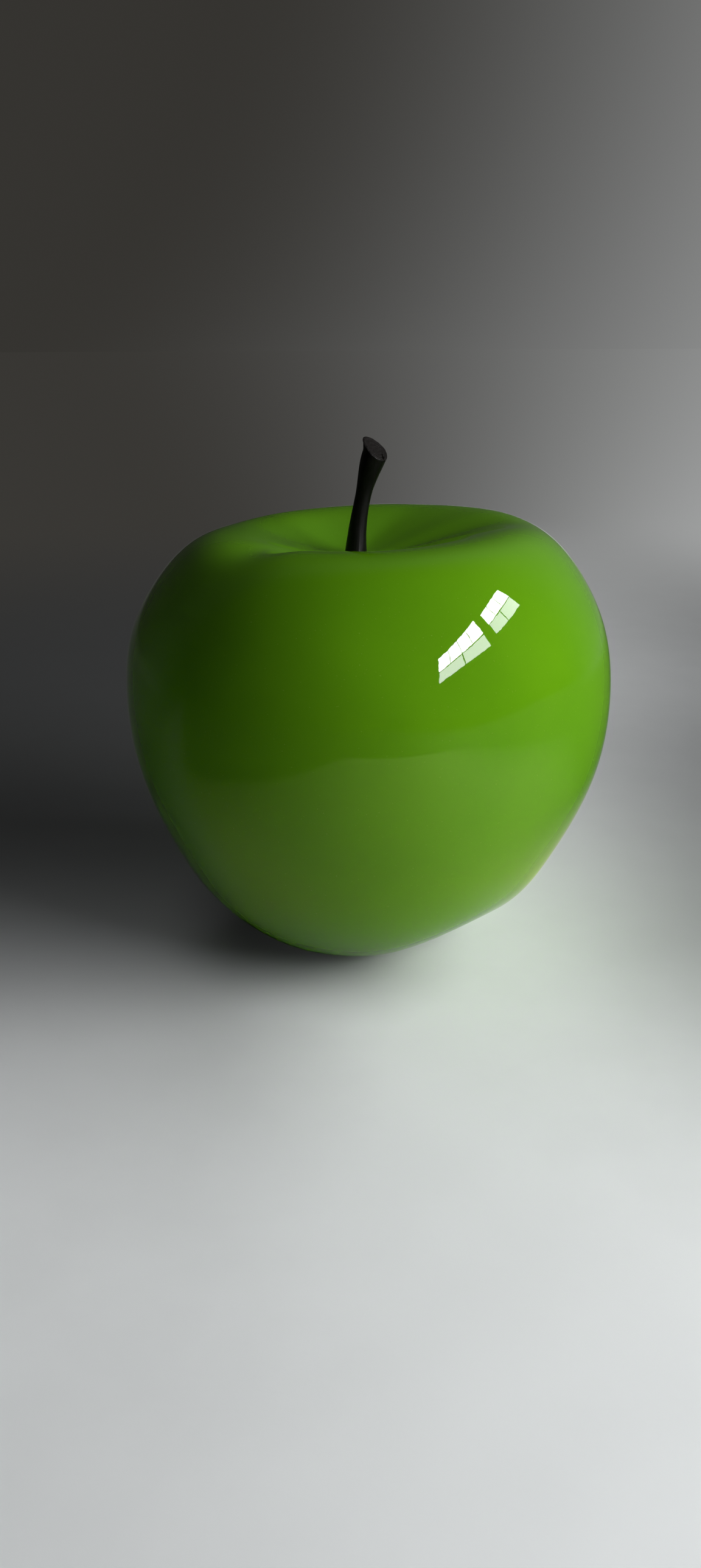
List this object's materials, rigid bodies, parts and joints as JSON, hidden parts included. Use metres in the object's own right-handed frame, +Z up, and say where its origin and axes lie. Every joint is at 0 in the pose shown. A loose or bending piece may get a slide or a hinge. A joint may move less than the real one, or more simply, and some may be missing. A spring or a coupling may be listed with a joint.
{
  "type": "decorative apple",
  "caption": "Large glossy green display apple: a hollow lacquered body with a broad dimple and soft lobes, a black stem with an oblique cut face, and small feet under its base.",
  "frame": {"origin": "middle of the apple's footprint box, on the floor plane that its foot pads stand on", "axes": "+Z up; -Y towards the viewer, the side that has the widest lobe of the base; +X to that viewer's right"},
  "size_m": [0.2918, 0.2912, 0.3011],
  "materials": {
    "green_lacquer": "high gloss clear-coated lacquer on moulded glass-fibre plastic",
    "cast_resin": "satin black casting",
    "zinc_steel": "bright zinc plated",
    "glass_tape": "resin-wetted glass tape",
    "plywood": "bare plywood",
    "black_plastic": "fine matt grain",
    "soft_rubber": "matt"
  },
  "bodies": {
    "root": {"upper_shell": "green_lacquer", "lower_shell": "green_lacquer", "seam_band": "glass_tape", "stem": "cast_resin", "stem_stud": "zinc_steel", "stem_backing_plate": "zinc_steel", "stem_washer": "zinc_steel", "stem_spring_washer": "zinc_steel", "stem_nut": "zinc_steel", "base_ring": "plywood", "base_cover": "black_plastic", "base_screw_1": "zinc_steel", "base_screw_2": "zinc_steel", "base_screw_3": "zinc_steel", "foot_pad_1": "soft_rubber", "foot_pad_2": "soft_rubber", "foot_pad_3": "soft_rubber", "foot_pad_4": "soft_rubber", "foot_pad_5": "soft_rubber"}
  },
  "joints": []
}
